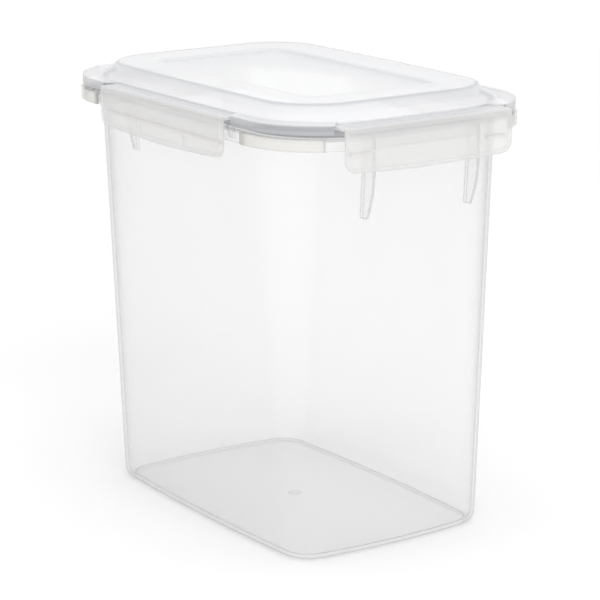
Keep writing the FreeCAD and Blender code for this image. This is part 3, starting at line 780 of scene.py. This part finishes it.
def brim_surfaces(sizes, tub):
    """Brims that reach out over the collar at the four corners, each with a lip along its edge.

    The lips are marked in full, so they carry a painted dark strip.
    """
    collar = tub_shapes(tub)[2]
    _, flange, _ = lid_shapes(sizes, tub)
    edge = outline(collar, sizes.brim_setback)
    top = sizes.top - sizes.flange_drop - sizes.brim_drop
    gaps = SIDE_BOX[1].x + sizes.brim_notch, END_BOX[1].y + sizes.brim_notch
    plates = banded(edge, outline(flange, sizes.flange_edge), top - sizes.brim_edge, top, *gaps)
    lip_face = outline(collar, sizes.brim_setback + sizes.inset)
    lip_back = outline(collar, sizes.brim_setback + sizes.brim_lip)
    lips = banded(lip_face, lip_back, top - sizes.brim_lip_depth, top - sizes.brim_edge / 2, *gaps)
    lips = gather(lips)
    # Full marks: the lips' painted dark strip
    return gather(plates), (*lips, np.ones(len(lips[0])))


def land_surfaces(sizes):
    """Straight lands that the flaps hang from, two at the ends and two at the sides."""
    middle = sizes.top - sizes.flange_drop - sizes.flange_edge
    up = middle - sizes.land_edge / 2, middle + sizes.land_edge / 2
    inner_x = sizes.flange_half_length - 2 * sizes.flange_edge
    inner_y = sizes.flange_half_width - 2 * sizes.flange_edge
    half_y, half_x = END_BOX[1].y, SIDE_BOX[1].x
    shells = []
    for side in (1, -1):
        shells.append(block((side * inner_x, side * LID_BOX[1].x), (-half_y, half_y), up))
        shells.append(block((-half_x, half_x), (side * inner_y, side * LID_BOX[1].y), up))
    return gather(shells)


def ring_surface(sizes, lid, tub):
    """The sealing ring: a rounded strip carried round the plug."""
    mouth = tub_shapes(tub)[1]
    inner = tub.wall + lid.plug_gap - sizes.gap
    outer = inner - sizes.width
    low, high = RING_BOX[0].z, RING_BOX[1].z
    rows = level_rows([
        (mouth, inner, low), (mouth, outer, low), (mouth, outer, high), (mouth, inner, high)
    ])
    low_round, high_round = (sizes.low_round, 0), (sizes.high_round, 0)
    rows, _ = soften(rows, {0: low_round, 1: low_round, 2: high_round, 3: high_round})
    return outward(*skin(rows, ring=True))


# Shape of a flap

def flap_lines(places, low, high, spacing):
    """Grid lines from low to high: close pairs at the given steps, and even ones between them."""
    lines = [low, high]
    for place in places:
        lines += [place - PINCH, place + PINCH]
    lines = sorted(line for line in lines if low <= line <= high)
    result = []
    for start, stop in zip(lines[:-1], lines[1:]):
        parts = max(1, math.ceil((stop - start) / spacing))
        result += np.linspace(start, stop, parts, endpoint=False).tolist()
    return np.array(result + [high])


class Flap:
    """One latch flap as it hangs at the right end or the back, and what its sizes work out to."""

    def __init__(self, sizes, tub, box, end):
        axis, width_axis = (0, 1) if end else (1, 0)
        self.sizes = sizes
        self.plane, self.half = box[1][axis], box[1][width_axis]
        self.low = box[0].z
        self.hinge = box[1].z - sizes.thickness / 2
        self.field_top = self.hinge - sizes.thickness
        self.corner = sizes.end_corner if end else sizes.side_corner
        collar_face = tub.collar_half_length if end else tub.collar_half_width
        self.tip = self.plane - (collar_face - tub.guard_step + sizes.hook_gap)
        self.hook_top = tub.rim_height - tub.collar_drop - tub.collar_depth - sizes.hook_gap
        self.hook_low = self.hook_top - sizes.hook_height
        if end:
            inner, outer = sizes.end_hook_inner, sizes.end_hook_outer
            self.hooks = [(inner, outer), (-outer, -inner)]
            self.ribs = []
        else:
            self.hooks = [(-sizes.side_hook, sizes.side_hook)]
            self.ribs = [(place - sizes.rib_width / 2, place + sizes.rib_width / 2)
                         for place in (sizes.rib_place, -sizes.rib_place)]
        # Place along the flap, and height, of the middle of a lower corner's arc
        self.centre = self.half - self.corner
        drop = math.sqrt((sizes.bow - self.corner) ** 2 - self.centre ** 2)
        self.corner_height = self.low + sizes.bow - drop

    def foot(self, y):
        """Height of the lower edge: a wide arc that runs into the corners' arcs."""
        bow = self.sizes.bow
        bowed = self.low + bow - np.sqrt(bow ** 2 - y ** 2)
        past = np.clip(np.abs(y) - self.centre, 0, None)
        turned = self.corner_height - np.sqrt(np.clip(self.corner ** 2 - past ** 2, 0, None))
        return np.where(np.abs(y) > self.centre * bow / (bow - self.corner), turned, bowed)

    def grid(self):
        """Places along the flap and heights up it.

        The lowest rows follow the foot, up to the border's inner edge. The rows above them are
        level, with close pairs where the thickness steps. Where level rows would fall below the
        border, they close up just above it.
        """
        sizes, half = self.sizes, self.half
        near = sizes.edge * np.array(EDGE_SHARES)
        bends = self.corner * (1 - np.cos(np.linspace(0, QUARTER, BEND_STEPS)))[1:]
        side = np.concatenate([half - near, half - bends])
        steps = [half - sizes.border, sizes.border - half]
        steps += [limit for span in self.hooks + self.ribs for limit in span]
        y = flap_lines(steps, -half, half, ALONG_SPACING)
        y = np.unique(np.concatenate([y, side, -side]).round(7))[:, None]

        lowest, highest = self.hook_low - 2 * PINCH, self.hinge - 2 * PINCH
        slope_top = self.hook_low + sizes.hook_slope
        heights = flap_lines([self.hook_top], lowest, highest, UP_SPACING).tolist()
        heights += [slope_top, slope_top + PINCH, self.hook_low,
                    self.field_top - PINCH, self.field_top + PINCH, self.hinge]
        heights = np.unique(np.round(heights, 7))
        above = np.concatenate([[0], near, [sizes.border - PINCH, sizes.border + PINCH]])
        levels = self.foot(y) + above
        last = levels[:, -1:]
        middle = (last + np.maximum(heights[0], last + PINCH)) / 2
        closed = last + PINCH * (1 + np.arange(len(heights)))
        z = np.concatenate([levels, middle, np.maximum(heights, closed)], 1)
        return np.broadcast_to(y, z.shape), np.minimum(z, self.hinge)

    def thickness(self, y, z):
        """Thickness at each point: border, thin field, hooks with sloping undersides, and ribs."""
        sizes = self.sizes
        in_field = (np.abs(y) < self.half - sizes.border) & (z < self.field_top)
        in_field &= z > self.foot(y) + sizes.border
        thick = np.where(in_field, sizes.field, sizes.thickness)
        rise = np.clip((z - self.hook_low) / sizes.hook_slope, 0, 1)
        hook = sizes.field + rise * (self.tip - sizes.field)
        for start, stop in self.hooks:
            within = (y > start) & (y < stop) & (z >= self.hook_low - PINCH / 2) & (z < self.hook_top)
            thick = np.where(within, np.maximum(thick, hook), thick)
        for start, stop in self.ribs:
            within = (y > start) & (y < stop) & (z < self.hook_low + PINCH)
            thick = np.where(within, np.maximum(thick, sizes.thickness), thick)
        return thick

    def fall(self, y, z):
        """How far a face falls back near the flap's edge, on a quarter circle."""
        edge = self.sizes.edge
        from_edge = np.where(
            (np.abs(y) > self.centre) & (z < self.corner_height),
            self.corner - np.hypot(np.abs(y) - self.centre, z - self.corner_height),
            np.minimum(self.half - np.abs(y), z - self.foot(y)),
        )
        inside = edge - np.clip(from_edge, 0, edge)
        return edge - np.sqrt(np.clip(edge ** 2 - inside ** 2, 0, None))


def flap_surface(flap, turn):
    """A flap turned to its side of the box, and its bulk: how far it is thicker than its field.

    The outer face is flat, the inner face lies one thickness behind it, and both fall back to the
    edges. The top is rolled about the hinge line.
    """
    sizes = flap.sizes
    y, z = flap.grid()
    thick, fall = flap.thickness(y, z), flap.fall(y, z)
    outer = flap.plane - fall
    inner = flap.plane - thick + fall

    middle, reach = (outer[:, -1:] + inner[:, -1:]) / 2, (outer[:, -1:] - inner[:, -1:]) / 2
    angle = np.linspace(0, 2 * QUARTER, ROLL_STEPS)[None, 1:-1]
    roll_x, roll_z = middle + reach * np.cos(angle), flap.hinge + reach * np.sin(angle)
    x = np.concatenate([outer, roll_x, inner[:, ::-1]], 1)
    height = np.concatenate([z, roll_z, z[:, ::-1]], 1)
    bulk_and_shade = np.concatenate([thick, np.full_like(roll_x, sizes.thickness), thick[:, ::-1]], 1)
    bulk_and_shade = np.clip((bulk_and_shade - sizes.field) / FULL_BULK, 0, 1)
    points, faces = skin(np.stack([x, np.broadcast_to(y[:, :1], x.shape), height], -1))
    rotation = np.array(Matrix.Rotation(turn * QUARTER, 3, "Z"))
    return *outward(points @ rotation.T, faces), bulk_and_shade.reshape(-1)


# Operators

def settings():
    """The box's sizes and colours, as the scene holds them."""
    return bpy.context.scene.storage_box


class BOX_OT_tub(bpy.types.Operator):
    """Build the clear tub with its collar, guards and grips"""

    bl_idname = "storage_box.tub"
    bl_label = "Clear tub"

    def execute(self, context):
        sizes = settings().tub
        clear = clear_plastic("clear_plastic", sizes.tint, film=0.045, edge=1.0)
        thick = clear_plastic("thick_plastic", sizes.edge_tint, film=0.34, edge=0.35)
        make_piece("tub_shell", tub_surface(sizes), "container", clear, bevel=TUB_BEVEL,
                   replaces=["container"])
        make_piece("tub_guards", guard_surfaces(sizes), "container", thick, bevel=SMALL_BEVEL)
        make_piece("tub_grips", grip_surfaces(sizes), "container", clear, bevel=TUB_BEVEL)
        make_piece("tub_gussets", gusset_surfaces(sizes), "container", clear)
        make_piece("tub_gate", gate_surface(sizes), "container", clear)
        return {"FINISHED"}


class BOX_OT_lid(bpy.types.Operator):
    """Build the milky lid with its brims and hinge lands"""

    bl_idname = "storage_box.lid"
    bl_label = "Lid"

    def execute(self, context):
        sizes, tub = settings().lid, settings().tub
        underside = sizes.top - sizes.flange_drop - sizes.flange_edge - sizes.land_edge / 2
        material = lid_plastic(sizes.tint, sizes.shadow, underside)
        make_piece("lid_shell", lid_surface(sizes, tub), "lid", material, bevel=LID_BEVEL,
                   replaces=["lid"])
        brims, lips = brim_surfaces(sizes, tub)
        for name, surface in (("brims", brims), ("lips", lips), ("lands", land_surfaces(sizes))):
            make_piece(f"lid_{name}", surface, "lid", material, bevel=SMALL_BEVEL)
        return {"FINISHED"}


class BOX_OT_ring(bpy.types.Operator):
    """Build the sealing ring"""

    bl_idname = "storage_box.ring"
    bl_label = "Sealing ring"

    def execute(self, context):
        sizes, lid, tub = settings().ring, settings().lid, settings().tub
        make_piece("sealing_ring", ring_surface(sizes, lid, tub), "lid",
                   silicone(sizes.tint), replaces=["gasket"])
        return {"FINISHED"}


class BOX_OT_flaps(bpy.types.Operator):
    """Build the four latch flaps"""

    bl_idname = "storage_box.flaps"
    bl_label = "Latch flaps"

    def execute(self, context):
        sizes, tub = settings().flaps, settings().tub
        material = flap_plastic(sizes.tint)
        end, side = Flap(sizes, tub, END_BOX, True), Flap(sizes, tub, SIDE_BOX, False)
        for name, flap, turn in (
            ("flap_right", end, 0),
            ("flap_left", end, 2),
            ("flap_back", side, 1),
            ("flap_front", side, 3),
        ):
            make_piece(f"{name}_plate", flap_surface(flap, turn), name, material,
                       crease=FLAP_CREASE, replaces=[name])
        return {"FINISHED"}


class BOX_OT_stage(bpy.types.Operator):
    """Set the floor, the light and the camera"""

    bl_idname = "storage_box.stage"
    bl_label = "Stage"

    def execute(self, context):
        stage = settings().stage
        make_floor(stage)
        make_world(stage)
        make_lamps()
        make_camera(stage)
        scene = context.scene
        scene.view_settings.view_transform = "Standard"
        scene.cycles.transparent_max_bounces = CLEAR_LAYERS
        return {"FINISHED"}


def seen_directly(start):
    """1 where a ray comes from the camera, a mirror or clear plastic, and 0 where it lights things."""
    camera, glossy, through = (
        start.then("ShaderNodeLightPath", {}, output=name)
        for name in ("Is Camera Ray", "Is Glossy Ray", "Is Transmission Ray")
    )
    return camera.math("MAXIMUM", glossy).math("MAXIMUM", through)


def make_floor(stage):
    """A wide floor that shows white to the camera and keeps the object's shadow.

    The lamps light it less the further out it lies, so its own glow grows with that distance.
    """
    mesh = bpy.data.meshes.new("floor")
    signs = (-1, -1), (1, -1), (1, 1), (-1, 1)
    corners = [(x * FLOOR_REACH, y * FLOOR_REACH, 0) for x, y in signs]
    mesh.from_pydata(corners, [], [(0, 1, 2, 3)])
    floor = placed("floor", mesh)
    material, shader, place = new_material("floor_paper")
    feed(shader, "Base Color", (*stage.floor, 1))
    feed(shader, "Roughness", 0.9)
    feed(shader, "Specular IOR Level", 0.1)
    feed(shader, "Emission Color", (*stage.backdrop, 1))
    far = place.then("ShaderNodeVectorMath", {0: place}, output=1, operation="LENGTH")
    feed(shader, "Emission Strength", seen_directly(place) * (far * GLOW_RISE + FLOOR_GLOW))
    mesh.materials.append(material)


def make_world(stage):
    """Plain light from all round, and a white backdrop for the camera, mirrors and clear plastic."""
    world = bpy.data.worlds.new("studio")
    bpy.context.scene.world = world
    world.use_nodes = True
    background = world.node_tree.nodes["Background"]
    feed(background, "Color", (*stage.backdrop, 1))
    seen = seen_directly(Signal(world.node_tree))
    feed(background, "Strength", seen * (1 - stage.light) + stage.light)


def make_lamps():
    """Three large soft lamps: over the object, from the upper right, and a weaker one from the left."""
    for name, place, size, watts in LAMPS:
        lamp = bpy.data.lights.new(name, "AREA")
        lamp.shape = "SQUARE"
        lamp.size = size
        lamp.energy = watts
        holder = placed(name, lamp)
        holder.location = place
        aim = Vector((0, 0, LAMP_AIM)) - Vector(place)
        holder.rotation_mode = "QUATERNION"
        holder.rotation_quaternion = aim.to_track_quat("-Z", "Y")


def make_camera(stage):
    """The camera at the photograph's angle, tilted slightly about its view line."""
    east, north = math.cos(stage.azimuth), math.sin(stage.azimuth)
    level = math.cos(stage.elevation)
    forward = Vector((-north * level, east * level, -math.sin(stage.elevation)))
    right = Vector((east, north, 0))
    up = right.cross(forward)
    tilted_right = (right - up * stage.roll).normalized()
    tilted_up = (up + right * stage.roll).normalized()
    target = Vector((0, 0, stage.aim_height)) + right * stage.sideways
    camera = bpy.data.cameras.new("camera")
    camera.lens = stage.lens
    camera.clip_start = NEAR_CLIP
    holder = placed("camera", camera)
    turned = Matrix((tilted_right, tilted_up, -forward)).transposed()
    holder.matrix_world = Matrix.Translation(target - forward * stage.distance) @ turned.to_4x4()
    bpy.context.scene.camera = holder


class BoxSettings(bpy.types.PropertyGroup):
    """All sizes and colours of the storage box."""

    tub: PointerProperty(type=TubSizes)
    lid: PointerProperty(type=LidSizes)
    ring: PointerProperty(type=RingSizes)
    flaps: PointerProperty(type=FlapSizes)
    stage: PointerProperty(type=StageSizes)


OPERATORS = (BOX_OT_tub, BOX_OT_lid, BOX_OT_ring, BOX_OT_flaps, BOX_OT_stage)


class BOX_PT_panel(bpy.types.Panel):
    """Builds each group of pieces"""

    bl_label = "Storage box"
    bl_idname = "BOX_PT_panel"
    bl_space_type = "VIEW_3D"
    bl_region_type = "UI"
    bl_category = "Storage box"

    def draw(self, context):
        for operator in OPERATORS:
            self.layout.operator(operator.bl_idname)


CLASSES = (TubSizes, LidSizes, RingSizes, FlapSizes, StageSizes, BoxSettings, *OPERATORS, BOX_PT_panel)


def register():
    for item in CLASSES:
        bpy.utils.register_class(item)
    bpy.types.Scene.storage_box = PointerProperty(type=BoxSettings)


def unregister():
    del bpy.types.Scene.storage_box
    for item in reversed(CLASSES):
        bpy.utils.unregister_class(item)


def main():
    register()
    for operator in OPERATORS:
        group, name = operator.bl_idname.split(".")
        getattr(getattr(bpy.ops, group), name)()


if __name__ == "__main__":
    main()
